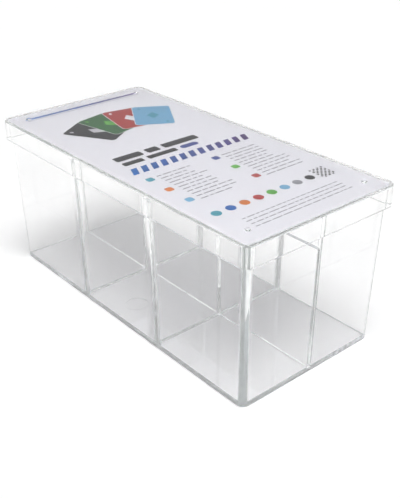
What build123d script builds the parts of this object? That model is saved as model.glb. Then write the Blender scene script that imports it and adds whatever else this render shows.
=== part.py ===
# Clear stackable card box: a drafted tray with half-walls moulded across it, a long divider that lifts out
# of the slots between them, a lift-off lid with a skirt, and the insert card under the lid's panel.
# Millimetres, +Z up. The origin is the middle of the underside, and +X runs along the length.

import os
from math import cos, radians, tan

from build123d import *

# Tray
base_length = 220.0
base_width = 101.0
tray_height = 96.3
wall = 2.4
floor_thickness = 1.8
draft_angle = 1.2
corner_radius = 4.8
foot_round = 0.4
rim_round = 0.3
floor_round = 0.7

# Half-walls moulded across the tray, two at each third of the length
half_wall_foot = 2.6
half_wall_draft = 0.25
half_wall_root_round = 3.0
half_wall_drop = 2.5
slot_foot_round = 0.6

# Long divider, which stands in the slots between the half-walls and in a groove in each end wall
divider_thickness = 2.0
divider_height = 75.1
divider_foot_radius = 1.6
divider_top_radius = 1.2
divider_top_bevel = 0.4
groove_depth = 0.8

# Lid
panel_thickness = 1.6
skirt_wall = 1.9
skirt_height = 12.9
lid_corner_radius = 5.0
hollow_corner_radius = 0.6
lid_top_round = 0.6
lip_round = 0.3

# Insert card under the lid's panel
card_thickness = 0.4
card_corner_radius = 3.0

# Pips on the lid, which a box stacked on top stands on
pip_radius = 1.6
pip_height = 0.8
pip_bevel = 0.3
pip_inset = 8.0

# Round gate mark in the floor of the front middle compartment
gate_mark_radius = 7.0
gate_mark_depth = 0.3
gate_mark_inset = 16.8
gate_mark_shift = -5.0

# Clearances
lid_side_gap = 0.47
rim_gap = 0.1
card_gap = 0.1
card_side_gap = 0.15
divider_side_gap = 0.5
divider_end_gap = 0.35
divider_floor_gap = 0.1

# How far a cutting shape runs past the face that it cuts
overrun = 1.0

# Drafted walls lean out by this much for each unit of height
draft_slope = tan(radians(draft_angle))
wall_across = wall / cos(radians(draft_angle))
skirt_across = skirt_wall / cos(radians(draft_angle))

# Inside of the tray at floor level
cavity_length = base_length + 2 * floor_thickness * draft_slope - 2 * wall_across
cavity_width = base_width + 2 * floor_thickness * draft_slope - 2 * wall_across
cavity_depth = tray_height - floor_thickness

# Outside of the tray at its rim
rim_length = base_length + 2 * tray_height * draft_slope
rim_width = base_width + 2 * tray_height * draft_slope

# The half-walls leave three equal lengths at the floor
half_wall_x = (cavity_length + half_wall_foot) / 6
half_wall_level = tray_height - half_wall_drop
slot_width = divider_thickness + 2 * divider_side_gap
divider_foot_level = floor_thickness + divider_floor_gap
divider_top_level = divider_foot_level + divider_height

# Levels of the lid, which rests on the rim through the insert card
card_level = tray_height + rim_gap
panel_level = card_level + card_thickness + card_gap
lid_top_level = panel_level + panel_thickness
lip_level = lid_top_level - skirt_height

# Inside of the lid at its lip
lip_lean = (tray_height - lip_level) * draft_slope
hollow_length = rim_length + 2 * (lid_side_gap + lip_lean)
hollow_width = rim_width + 2 * (lid_side_gap + lip_lean)

pip_x = base_length / 2 - pip_inset
pip_y = base_width / 2 - pip_inset
pip_places = [(side * pip_x, end * pip_y) for side in (-1, 1) for end in (-1, 1)]


def lowest_face(shape):
    return shape.faces().sort_by(Axis.Z)[0]


def highest_face(shape):
    return shape.faces().sort_by(Axis.Z)[-1]


def upright_edges(face):
    # The two side edges of a four-sided upright face
    return face.edges().sort_by(Axis.Z)[1:3]


def drafted_block(outline, level, height, angle):
    # A block with leaning sides; a negative angle makes it wider at the top
    foot = Plane.XY.offset(level)
    block = extrude(foot * outline, amount=height)
    return draft(block.faces().filter_by(Axis.Z, reverse=True), foot, angle)


def rounded_block(length, width, radius, level, height, angle):
    # A drafted block with rounded upright corners
    block = drafted_block(Rectangle(length, width), level, height, angle)
    return fillet(block.edges().sort_by(Axis.Z)[4:8], radius)


def wall_reach(half_span, level):
    # Distance from the middle of the tray to the inner face of a wall
    return half_span + (level - floor_thickness) * draft_slope


def make_pocket(between):
    # One hollow of the tray: the inside of its walls, cut to the outline between its half-walls
    depth = cavity_depth + overrun
    inside = drafted_block(Rectangle(cavity_length, cavity_width), floor_thickness, depth, -draft_angle)
    return inside & drafted_block(between, floor_thickness, depth, -half_wall_draft)


def make_middle_pocket():
    pocket = make_pocket(Rectangle(2 * half_wall_x - half_wall_foot, rim_width))
    for end in (0, -1):
        pocket = fillet(upright_edges(pocket.faces().sort_by(Axis.X)[end]), half_wall_root_round)
    return fillet(lowest_face(pocket).edges(), floor_round)


def make_end_pocket():
    # The pocket at the right end; the left one is the same, turned round
    from_half_wall = Rectangle(rim_length, rim_width, align=(Align.MIN, Align.CENTER))
    pocket = make_pocket(Pos(half_wall_x + half_wall_foot / 2, 0) * from_half_wall)
    pocket = fillet(upright_edges(pocket.faces().sort_by(Axis.X)[0]), half_wall_root_round)
    return fillet(lowest_face(pocket).edges(), floor_round)


def make_slot():
    # The gap between two half-walls that the long divider stands in, rounded at its foot
    height = half_wall_level - floor_thickness + overrun
    outline = Pos(0, floor_thickness) * Rectangle(slot_width, height, align=(Align.CENTER, Align.MIN))
    outline = fillet(outline.vertices().group_by(Axis.Y)[0], slot_foot_round)
    return extrude(Plane.YZ * outline, amount=half_wall_foot / 2 + floor_round + overrun, both=True)


def make_groove():
    # The groove in the right end wall, which leans with the wall and is open at the rim
    top = tray_height + overrun
    foot_reach = wall_reach(cavity_length / 2, floor_thickness)
    top_reach = wall_reach(cavity_length / 2, top)
    side_view = make_face(
        Polyline(
            (foot_reach - overrun, floor_thickness),
            (foot_reach + groove_depth, floor_thickness),
            (top_reach + groove_depth, top),
            (top_reach - overrun, top),
            close=True,
        )
    )
    return extrude(Plane.XZ * side_view, amount=slot_width / 2, both=True)


def make_tray():
    shell = rounded_block(base_length, base_width, corner_radius, 0, tray_height, -draft_angle)
    shell = fillet(lowest_face(shell).edges(), foot_round)
    mouth_reach = 2 * (half_wall_level - floor_thickness) * draft_slope
    mouth_outline = Rectangle(cavity_length + mouth_reach, cavity_width + mouth_reach)
    mouth = drafted_block(mouth_outline, half_wall_level, half_wall_drop + overrun, -draft_angle)
    half_turn = Rot(0, 0, 180)
    end_pocket = make_end_pocket()
    tray = shell - make_middle_pocket() - end_pocket - half_turn * end_pocket - mouth
    tray = fillet(highest_face(tray).outer_wire().edges(), rim_round)

    for side in (-1, 1):
        tray -= Pos(side * half_wall_x, 0, 0) * make_slot()
    groove = make_groove()
    tray = tray - groove - half_turn * groove

    gate_mark = Cylinder(
        gate_mark_radius, gate_mark_depth + overrun, align=(Align.CENTER, Align.CENTER, Align.MIN)
    )
    gate_mark_y = gate_mark_inset - cavity_width / 2
    return tray - Pos(gate_mark_shift, gate_mark_y, floor_thickness - gate_mark_depth) * gate_mark


def make_long_divider():
    # A flat panel whose ends lean with the end walls and reach into their grooves
    end_reach = cavity_length / 2 + groove_depth - divider_end_gap
    foot_half = wall_reach(end_reach, divider_foot_level)
    top_half = wall_reach(end_reach, divider_top_level)
    side_view = make_face(
        Polyline(
            (-foot_half, divider_foot_level),
            (foot_half, divider_foot_level),
            (top_half, divider_top_level),
            (-top_half, divider_top_level),
            close=True,
        )
    )
    side_view = fillet(side_view.vertices().group_by(Axis.Y)[0], divider_foot_radius)
    side_view = fillet(side_view.vertices().group_by(Axis.Y)[-1], divider_top_radius)
    panel = extrude(Plane.XZ * side_view, amount=divider_thickness / 2, both=True)
    long_edges = highest_face(panel).edges().filter_by(Axis.X)
    return chamfer(long_edges, divider_top_bevel)


def make_lid():
    lid_length = hollow_length + 2 * skirt_across
    lid_width = hollow_width + 2 * skirt_across
    shell = rounded_block(lid_length, lid_width, lid_corner_radius, lip_level, skirt_height, draft_angle)
    shell = fillet(highest_face(shell).edges(), lid_top_round)
    shell = fillet(lowest_face(shell).edges(), lip_round)
    spread = 2 * overrun * draft_slope
    hollow = rounded_block(
        hollow_length + spread,
        hollow_width + spread,
        hollow_corner_radius,
        lip_level - overrun,
        panel_level - lip_level + overrun,
        draft_angle,
    )
    lid = shell - hollow
    pip = Cylinder(
        pip_radius, pip_height + panel_thickness / 2, align=(Align.CENTER, Align.CENTER, Align.MAX)
    )
    pip = chamfer(highest_face(pip).edges(), pip_bevel)
    return lid + [Pos(x, y, lid_top_level + pip_height) * pip for x, y in pip_places]


def make_insert_card():
    # Fills the lid's inside at the level of the card's upper face
    lean = (card_level + card_thickness - lip_level) * draft_slope
    length = hollow_length - 2 * lean - 2 * card_side_gap
    width = hollow_width - 2 * lean - 2 * card_side_gap
    outline = RectangleRounded(length, width, card_corner_radius)
    return extrude(Plane.XY.offset(card_level) * outline, amount=card_thickness)


pieces = {
    "tray": make_tray(),
    "long_divider": make_long_divider(),
    "lid": make_lid(),
    "insert_card": make_insert_card(),
}

os.makedirs("parts", exist_ok=True)
for name, piece in pieces.items():
    export_step(piece, f"parts/{name}.step")
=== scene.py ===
import math
import random

import bmesh
import bpy
from mathutils import Matrix, Vector


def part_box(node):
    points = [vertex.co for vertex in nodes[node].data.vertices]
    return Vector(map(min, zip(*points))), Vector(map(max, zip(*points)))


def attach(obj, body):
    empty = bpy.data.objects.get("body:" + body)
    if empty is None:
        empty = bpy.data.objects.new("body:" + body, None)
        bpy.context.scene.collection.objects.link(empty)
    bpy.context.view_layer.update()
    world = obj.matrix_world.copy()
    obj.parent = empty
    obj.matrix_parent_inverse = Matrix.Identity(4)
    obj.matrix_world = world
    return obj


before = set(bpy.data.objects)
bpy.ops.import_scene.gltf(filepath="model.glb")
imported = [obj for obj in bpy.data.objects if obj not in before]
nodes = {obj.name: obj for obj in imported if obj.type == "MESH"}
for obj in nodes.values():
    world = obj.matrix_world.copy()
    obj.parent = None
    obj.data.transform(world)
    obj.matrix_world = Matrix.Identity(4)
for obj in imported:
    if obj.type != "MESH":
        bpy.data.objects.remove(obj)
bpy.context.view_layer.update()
mm = 0.001
print("frame loaded:", len(nodes), "CAD nodes")


# Shader helpers
def newMaterial(name):
    material = bpy.data.materials.new(name)
    material.use_nodes = True
    tree = material.node_tree
    tree.nodes.clear()
    out = tree.nodes.new("ShaderNodeOutputMaterial")
    return material, tree, out


def addNode(tree, kind, sockets):
    node = tree.nodes.new(kind)
    for name, value in sockets.items():
        node.inputs[name].default_value = value
    return node


def objectCoords(tree):
    return tree.nodes.new("ShaderNodeTexCoord").outputs["Object"]


def noiseAt(tree, scale, detail, grit):
    noise = addNode(tree, "ShaderNodeTexNoise", {"Scale": scale, "Detail": detail, "Roughness": grit})
    tree.links.new(objectCoords(tree), noise.inputs["Vector"])
    return noise.outputs["Fac"]


def remap(tree, value, low, high):
    node = addNode(tree, "ShaderNodeMapRange", {"To Min": low, "To Max": high})
    tree.links.new(value, node.inputs["Value"])
    return node.outputs["Result"]


def mixColours(tree, factor, first, second):
    mix = tree.nodes.new("ShaderNodeMix")
    mix.data_type = "RGBA"
    mix.inputs["A"].default_value = (*first, 1)
    mix.inputs["B"].default_value = (*second, 1)
    tree.links.new(factor, mix.inputs["Factor"])
    return mix.outputs["Result"]


def bumpFrom(tree, height, strength, depth):
    bump = addNode(tree, "ShaderNodeBump", {"Strength": strength, "Distance": depth})
    tree.links.new(height, bump.inputs["Height"])
    return bump.outputs["Normal"]


def dress(nodeName, material):
    mesh = nodes[nodeName].data
    mesh.materials.clear()
    mesh.materials.append(material)


# Clear moulded plastic: polished, with faint flow waves, a few hazy patches
# and a green-grey tint in the thickness
clearPlastic = {
    "ior": 1.59,
    "hazeScale": 38.0, "hazeDetail": 3.0, "hazeLow": 0.0, "hazeHigh": 0.022,
    "waveScale": 180.0, "waveDetail": 1.0, "waveStrength": 0.003, "waveDepth": 0.4 * mm,
    "grit": 0.5,
    "tint": (0.80, 0.86, 0.84), "tintDensity": 3.0,
    "patternShifts": {"trayPlastic": 0.0, "lidPlastic": 3.0, "dividerPlastic": 6.0},  # no two pieces alike
}


def makeClearPlastic(name):
    s = clearPlastic
    shift = s["patternShifts"][name]
    material, tree, out = newMaterial(name)
    bsdf = addNode(tree, "ShaderNodeBsdfPrincipled", {
        "Base Color": (1, 1, 1, 1), "IOR": s["ior"], "Transmission Weight": 1.0,
    })
    haze = noiseAt(tree, s["hazeScale"] + shift, s["hazeDetail"], s["grit"])
    tree.links.new(remap(tree, haze, s["hazeLow"], s["hazeHigh"]), bsdf.inputs["Roughness"])
    waves = noiseAt(tree, s["waveScale"] + shift, s["waveDetail"], s["grit"])
    tree.links.new(bumpFrom(tree, waves, s["waveStrength"], s["waveDepth"]), bsdf.inputs["Normal"])
    tree.links.new(bsdf.outputs["BSDF"], out.inputs["Surface"])
    absorb = addNode(tree, "ShaderNodeVolumeAbsorption", {
        "Color": (*s["tint"], 1), "Density": s["tintDensity"],
    })
    tree.links.new(absorb.outputs["Volume"], out.inputs["Volume"])
    return material


dress("tray", makeClearPlastic("trayPlastic"))
dress("lid", makeClearPlastic("lidPlastic"))
dress("long_divider", makeClearPlastic("dividerPlastic"))
print("clear plastic on tray, lid and divider")


# Insert card: white board, faintly lavender, with paper grain
cardBoard = {
    "colour": (0.905, 0.90, 0.955), "shade": (0.88, 0.875, 0.93),
    "grainScale": 900.0, "grainDetail": 4.0, "grit": 0.6,
    "roughLow": 0.5, "roughHigh": 0.62,
    "bumpStrength": 0.1, "bumpDepth": 0.02 * mm,
}


def makeCardBoard():
    s = cardBoard
    material, tree, out = newMaterial("cardBoard")
    bsdf = tree.nodes.new("ShaderNodeBsdfPrincipled")
    grain = noiseAt(tree, s["grainScale"], s["grainDetail"], s["grit"])
    tree.links.new(mixColours(tree, grain, s["colour"], s["shade"]), bsdf.inputs["Base Color"])
    tree.links.new(remap(tree, grain, s["roughLow"], s["roughHigh"]), bsdf.inputs["Roughness"])
    tree.links.new(bumpFrom(tree, grain, s["bumpStrength"], s["bumpDepth"]), bsdf.inputs["Normal"])
    tree.links.new(bsdf.outputs["BSDF"], out.inputs["Surface"])
    return material


dress("insert_card", makeCardBoard())
print("insert card dressed")


# Print on the insert card. Label places are in millimetres: u across the card (+Y), v down it (+X)
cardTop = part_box("insert_card")[1].z
inkLayers = {
    "pass": 0.012 * mm,  # height of one pass of ink
    "seed": 7,
    "cornerSteps": 5, "circleSteps": 32,
    "grainScale": 1400.0, "grainDetail": 4.0, "grit": 0.65,
    "roughLow": 0.42, "roughHigh": 0.58,
    "tones": {
        "inkCharcoal": ((0.012, 0.012, 0.016), (0.024, 0.024, 0.030)),
        "inkGrey": ((0.30, 0.30, 0.33), (0.40, 0.40, 0.44)),
        "inkPale": ((0.62, 0.61, 0.66), (0.70, 0.69, 0.74)),
        "inkWhite": ((0.88, 0.88, 0.92), (0.84, 0.84, 0.88)),
        "inkGreen": ((0.015, 0.12, 0.025), (0.03, 0.17, 0.045)),
        "inkLeaf": ((0.09, 0.42, 0.04), (0.14, 0.50, 0.07)),
        "inkRed": ((0.42, 0.02, 0.02), (0.50, 0.04, 0.035)),
        "inkSky": ((0.16, 0.42, 0.66), (0.22, 0.50, 0.72)),
        "inkTeal": ((0.05, 0.34, 0.44), (0.08, 0.40, 0.50)),
        "inkOrange": ((0.70, 0.18, 0.02), (0.76, 0.24, 0.05)),
        "inkRibbon": ((0.01, 0.16, 0.52), (0.07, 0.015, 0.20)),
    },
    "fades": {"inkRibbon": (-42.0, 40.0)},  # runs from its first tone to its second between these u
}
inkShapes = {}


def acrossCard(tree, start, stop):
    split = tree.nodes.new("ShaderNodeSeparateXYZ")
    tree.links.new(objectCoords(tree), split.inputs["Vector"])
    along = addNode(tree, "ShaderNodeMapRange", {"From Min": start * mm, "From Max": stop * mm})
    tree.links.new(split.outputs["Y"], along.inputs["Value"])
    return along.outputs["Result"]


def makeInk(name):
    s = inkLayers
    material, tree, out = newMaterial(name)
    bsdf = tree.nodes.new("ShaderNodeBsdfPrincipled")
    grain = noiseAt(tree, s["grainScale"], s["grainDetail"], s["grit"])
    blend = acrossCard(tree, *s["fades"][name]) if name in s["fades"] else grain
    tree.links.new(mixColours(tree, blend, *s["tones"][name]), bsdf.inputs["Base Color"])
    tree.links.new(remap(tree, grain, s["roughLow"], s["roughHigh"]), bsdf.inputs["Roughness"])
    tree.links.new(bsdf.outputs["BSDF"], out.inputs["Surface"])
    return material


def layInk(ink, outline, level=0):
    inkShapes.setdefault(ink, []).append((outline, level))


def turned(outline, pivot, angle):
    c, s = math.cos(angle), math.sin(angle)
    return [(pivot[0] + (u - pivot[0]) * c - (v - pivot[1]) * s,
             pivot[1] + (u - pivot[0]) * s + (v - pivot[1]) * c) for u, v in outline]


def roundedBar(u, v, width, height, radius):  # u, v is the middle
    steps = inkLayers["cornerSteps"]
    points = []
    for corner, (su, sv) in enumerate([(1, -1), (1, 1), (-1, 1), (-1, -1)]):
        middle = (u + su * (width / 2 - radius), v + sv * (height / 2 - radius))
        for step in range(steps + 1):
            angle = math.pi / 2 * (corner - 1 + step / steps)
            points.append((middle[0] + radius * math.cos(angle), middle[1] + radius * math.sin(angle)))
    return points


def disc(u, v, radius):
    steps = inkLayers["circleSteps"]
    return [(u + radius * math.cos(math.tau * i / steps), v + radius * math.sin(math.tau * i / steps))
            for i in range(steps)]


def diamond(u, v, width, height):
    return [(u + width / 2, v), (u, v + height / 2), (u - width / 2, v), (u, v - height / 2)]


def slantedBar(u, v, width, height, slant):
    left, right = u - width / 2, u + width / 2
    top, bottom = v - height / 2, v + height / 2
    return [(right + slant, top), (right, bottom), (left, bottom), (left + slant, top)]


def dashLine(rng, s, start, stop, v):  # a line of plain grey dashes
    corner = s["height"] * s["corner"]
    u = start
    while u < stop - s["shortest"]:
        length = min(rng.uniform(s["shortest"], s["longest"]), stop - u)
        layInk("inkGrey", roundedBar(u + length / 2, v, length, s["height"], corner))
        u += length + s["gap"]


ruleBand = {"v": -103.0, "height": 2.6, "start": -44.0, "stop": 44.0, "lineGap": 3.0, "lineHeight": 0.7}


def printRuleBand():
    s = ruleBand
    middle = (s["start"] + s["stop"]) / 2
    span = s["stop"] - s["start"]
    layInk("inkRibbon", roundedBar(middle, s["v"], span, s["height"], s["height"] / 2))
    lineV = s["v"] + s["lineGap"]
    layInk("inkGrey", roundedBar(middle, lineV, span, s["lineHeight"], s["lineHeight"] / 2))


cardFan = {
    "pivot": (2.0, -22.0), "reach": 42.0, "width": 25.0, "height": 35.0, "corner": 2.4, "rim": 0.4,
    "pip": (8.0, 12.0), "smallPip": (2.4, 3.4), "smallPipInset": 4.4,
    "spread": 21.0,  # degrees from card to card
    "cards": (  # ground and motif
        ("inkCharcoal", "inkPale"), ("inkGreen", "inkLeaf"), ("inkRed", "inkWhite"), ("inkSky", "inkTeal"),
    ),
    "cardLift": 2, "groundLift": 0.5, "motifLift": 1,  # passes of ink: card on card, ground and motif on rim
}


def printCardFan():
    s = cardFan
    width, height, rim = s["width"], s["height"], s["rim"]
    middle = (s["pivot"][0], s["pivot"][1] - s["reach"])
    insetU, insetV = width / 2 - s["smallPipInset"], height / 2 - s["smallPipInset"]
    pips = ((s["pip"], (0, 0)), (s["smallPip"], (-insetU, -insetV)), (s["smallPip"], (insetU, insetV)))
    first = -s["spread"] * (len(s["cards"]) - 1) / 2
    for place, (ground, motif) in enumerate(s["cards"]):
        angle = math.radians(first + place * s["spread"])
        level = place * s["cardLift"]
        edge = roundedBar(*middle, width + 2 * rim, height + 2 * rim, s["corner"] + rim)
        layInk("inkWhite", turned(edge, s["pivot"], angle), level)
        body = roundedBar(*middle, width, height, s["corner"])
        layInk(ground, turned(body, s["pivot"], angle), level + s["groundLift"])
        for pipSize, (du, dv) in pips:
            pip = diamond(middle[0] + du, middle[1] + dv, *pipSize)
            layInk(motif, turned(pip, s["pivot"], angle), level + s["motifLift"])


headBars = {
    "start": -40.0, "gap": 3.2, "corner": 0.2,  # corner as a share of the height
    "lines": (
        {"v": -10.0, "height": 6.4, "bars": (19.0, 9.0, 26.0)},
        {"v": -1.6, "height": 4.6, "bars": (14.0, 21.0), "tag": 13.0},  # ends in a blue tag
    ),
}


def printHeadBars():
    s = headBars
    for line in s["lines"]:
        v, height = line["v"], line["height"]
        u = s["start"]
        for length in line["bars"]:
            layInk("inkCharcoal", roundedBar(u + length / 2, v, length, height, height * s["corner"]))
            u += length + s["gap"]
        if "tag" in line:
            layInk("inkRibbon", roundedBar(u + line["tag"] / 2, v, line["tag"], height, height / 2))


stripeRow = {"v": 10.0, "height": 8.0, "start": -42.0, "stop": 40.0, "count": 13, "width": 4.0, "slant": 3.4}


def printStripeRow():
    s = stripeRow
    pitch = (s["stop"] - s["start"]) / (s["count"] - 1)
    for i in range(s["count"]):
        layInk("inkRibbon", slantedBar(s["start"] + i * pitch, s["v"], s["width"], s["height"], s["slant"]))


columns = {
    "starts": (-43.0, 4.0), "length": 38.0, "shortestRow": 0.72,  # as a share of the length
    "v": 23.0, "rows": 11, "step": 3.7,
    "height": 1.0, "corner": 0.3, "shortest": 2.2, "longest": 8.0, "gap": 1.0,
    "markSize": 4.6, "markCorner": 1.15, "markShift": 1.15, "markDrop": 16.5, "markGap": 3.0,
    "marks": (("inkTeal", "inkOrange", "inkSky"), ("inkRibbon", "inkLeaf", "inkRed")),
}


def printColumns(rng):
    s = columns
    size = s["markSize"]
    for start, marks in zip(s["starts"], s["marks"]):
        textStart = start + size + s["markGap"]
        for row in range(s["rows"]):
            stop = start + s["length"] * rng.uniform(s["shortestRow"], 1.0)
            dashLine(rng, s, textStart, stop, s["v"] + row * s["step"])
        for i, ink in enumerate(marks):
            v = s["v"] + i * s["markDrop"] + s["markShift"]
            layInk(ink, roundedBar(start + size / 2, v, size, size, s["markCorner"]))


swatchRow = {
    "v": 78.0, "start": -41.0, "step": 9.6, "radius": 2.9,
    "inks": ("inkTeal", "inkRibbon", "inkOrange", "inkRed", "inkLeaf", "inkSky", "inkGrey", "inkCharcoal"),
}


def printSwatchRow():
    s = swatchRow
    for i, ink in enumerate(s["inks"]):
        layInk(ink, disc(s["start"] + i * s["step"], s["v"], s["radius"]))


checkStrip = {
    "u": 38.0, "v": 78.0, "cell": 1.5, "columns": 7, "rows": 8,
    "size": 0.9, "corner": 0.1,  # as shares of a cell
}


def printCheckStrip():
    s = checkStrip
    size, corner = s["cell"] * s["size"], s["cell"] * s["corner"]
    for row in range(s["rows"]):
        for column in range(s["columns"]):
            if (row + column) % 2 == 0:
                u = s["u"] + (column - s["columns"] / 2) * s["cell"]
                v = s["v"] + (row - s["rows"] / 2) * s["cell"]
                layInk("inkCharcoal", roundedBar(u, v, size, size, corner))


smallPrint = {
    "v": 91.0, "rows": 4, "step": 3.3, "start": -36.0, "stop": 40.0, "ragged": 14,
    "height": 0.8, "corner": 0.3, "shortest": 2.0, "longest": 7.0, "gap": 0.9,
}


def printSmallPrint(rng):
    s = smallPrint
    for row in range(s["rows"]):
        stop = s["stop"] - rng.uniform(0, s["ragged"])
        dashLine(rng, s, s["start"], stop, s["v"] + row * s["step"])


def printLabel():
    rng = random.Random(inkLayers["seed"])
    printRuleBand()
    printCardFan()
    printHeadBars()
    printStripeRow()
    printColumns(rng)
    printSwatchRow()
    printCheckStrip()
    printSmallPrint(rng)


def addInkPiece(name):
    bm = bmesh.new()
    for outline, level in inkShapes[name]:
        inkTop = cardTop + (level + 1) * inkLayers["pass"]
        low = [bm.verts.new((v * mm, u * mm, cardTop)) for u, v in outline]
        high = [bm.verts.new((v * mm, u * mm, inkTop)) for u, v in outline]
        bm.faces.new(low)
        bm.faces.new(list(reversed(high)))
        for i in range(len(low)):
            j = (i + 1) % len(low)
            bm.faces.new((low[j], low[i], high[i], high[j]))
    bmesh.ops.recalc_face_normals(bm, faces=bm.faces)
    mesh = bpy.data.meshes.new(name)
    bm.to_mesh(mesh)
    bm.free()
    mesh.materials.append(makeInk(name))
    piece = bpy.data.objects.new(name, mesh)
    bpy.context.scene.collection.objects.link(piece)
    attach(piece, "lid")


printLabel()
for inkName in sorted(inkShapes):
    addInkPiece(inkName)
print("label printed in", len(inkShapes), "inks")


# Studio: pale floor, a dim even sky that is white near the horizon, and one soft box overhead
studio = {
    "floorSize": 8.0, "floorDrop": 0.3 * mm, "floorColour": (0.92, 0.92, 0.92),
    "horizonTone": 0.95, "horizonTop": 0.12,  # heights in the sky run from 0 at the horizon to 1 overhead
    "skyTone": 0.29, "skyStart": 0.30,
    "boxBearing": 338.0, "boxHeight": 75.0,  # degrees, a little to the right
    "boxSpread": (8.0, 26.0), "boxTone": 7.5,  # full out to the first angle, gone at the second
}


def makeFloor():
    s = studio
    material, tree, out = newMaterial("floorPaper")
    paper = addNode(tree, "ShaderNodeBsdfDiffuse", {"Color": (*s["floorColour"], 1)})
    tree.links.new(paper.outputs["BSDF"], out.inputs["Surface"])
    half = s["floorSize"] / 2
    mesh = bpy.data.meshes.new("studioFloor")
    corners = [(-half, -half), (half, -half), (half, half), (-half, half)]
    mesh.from_pydata([(x, y, -s["floorDrop"]) for x, y in corners], [], [(0, 1, 2, 3)])
    mesh.materials.append(material)
    floor = bpy.data.objects.new("studioFloor", mesh)
    bpy.context.scene.collection.objects.link(floor)


def skyTones(tree, direction):
    s = studio
    split = tree.nodes.new("ShaderNodeSeparateXYZ")
    tree.links.new(direction, split.inputs["Vector"])
    ramp = tree.nodes.new("ShaderNodeValToRGB")
    ramp.color_ramp.interpolation = "EASE"
    points = ramp.color_ramp.elements
    points.new(s["horizonTop"])
    points.new(s["skyStart"])
    tones = (s["horizonTone"], s["horizonTone"], s["skyTone"], s["skyTone"])
    for point, tone in zip(points, tones):
        point.color = (tone, tone, tone, 1)
    tree.links.new(split.outputs["Z"], ramp.inputs["Fac"])
    return ramp.outputs["Color"]


def softBox(tree, direction):
    s = studio
    bearing, height = math.radians(s["boxBearing"]), math.radians(s["boxHeight"])
    towards = tree.nodes.new("ShaderNodeVectorMath")
    towards.operation = "DOT_PRODUCT"
    towards.inputs[1].default_value = (math.cos(bearing) * math.cos(height),
                                       math.sin(bearing) * math.cos(height), math.sin(height))
    tree.links.new(direction, towards.inputs[0])
    full, gone = (math.cos(math.radians(angle)) for angle in s["boxSpread"])
    glow = addNode(tree, "ShaderNodeMapRange", {
        "From Min": gone, "From Max": full, "To Min": 0.0, "To Max": s["boxTone"],
    })
    glow.interpolation_type = "SMOOTHSTEP"
    tree.links.new(towards.outputs["Value"], glow.inputs["Value"])
    return glow.outputs["Result"]


def makeSurround():
    world = bpy.data.worlds.new("studioSurround")
    world.use_nodes = True
    tree = world.node_tree
    tree.nodes.clear()
    out = tree.nodes.new("ShaderNodeOutputWorld")
    back = tree.nodes.new("ShaderNodeBackground")
    direction = tree.nodes.new("ShaderNodeTexCoord").outputs["Generated"]
    total = tree.nodes.new("ShaderNodeVectorMath")  # adds
    tree.links.new(skyTones(tree, direction), total.inputs[0])
    tree.links.new(softBox(tree, direction), total.inputs[1])
    tree.links.new(total.outputs["Vector"], back.inputs["Color"])
    tree.links.new(back.outputs["Background"], out.inputs["Surface"])
    bpy.context.scene.world = world


makeFloor()
makeSurround()
print("studio set")


# Camera, set to the photograph's viewing angle
view = {
    "azimuth": 49.644, "elevation": 28.627, "roll": -0.2,
    "place": (340.6 * mm, -274.75 * mm, 269.76 * mm),
    "focalPixels": 795.74, "longSidePixels": 498, "sensor": 36.0,
    "clipStart": 0.01, "clipEnd": 50.0,
    "clearBounces": 200, "diffuseBounces": 4,  # light runs a long way inside the clear walls
}


def makeCamera():
    s = view
    data = bpy.data.cameras.new("photoCamera")
    data.sensor_width = s["sensor"]
    data.lens = s["focalPixels"] * s["sensor"] / s["longSidePixels"]
    data.clip_start = s["clipStart"]
    data.clip_end = s["clipEnd"]
    camera = bpy.data.objects.new("photoCamera", data)
    a, e = math.radians(s["azimuth"]), math.radians(s["elevation"])
    back = Vector((math.sin(a) * math.cos(e), -math.cos(a) * math.cos(e), math.sin(e)))
    turn = (-back).to_track_quat("-Z", "Y").to_matrix().to_4x4()
    roll = Matrix.Rotation(math.radians(s["roll"]), 4, "Z")
    camera.matrix_world = Matrix.Translation(s["place"]) @ turn @ roll
    bpy.context.scene.collection.objects.link(camera)
    bpy.context.scene.camera = camera


makeCamera()
scene = bpy.context.scene
scene.view_settings.view_transform = "Standard"
scene.cycles.max_bounces = view["clearBounces"]
scene.cycles.transmission_bounces = view["clearBounces"]
scene.cycles.glossy_bounces = view["clearBounces"]
scene.cycles.diffuse_bounces = view["diffuseBounces"]
scene.cycles.blur_glossy = 0.0  # light that passes the clear walls stays sharp
print("camera placed")
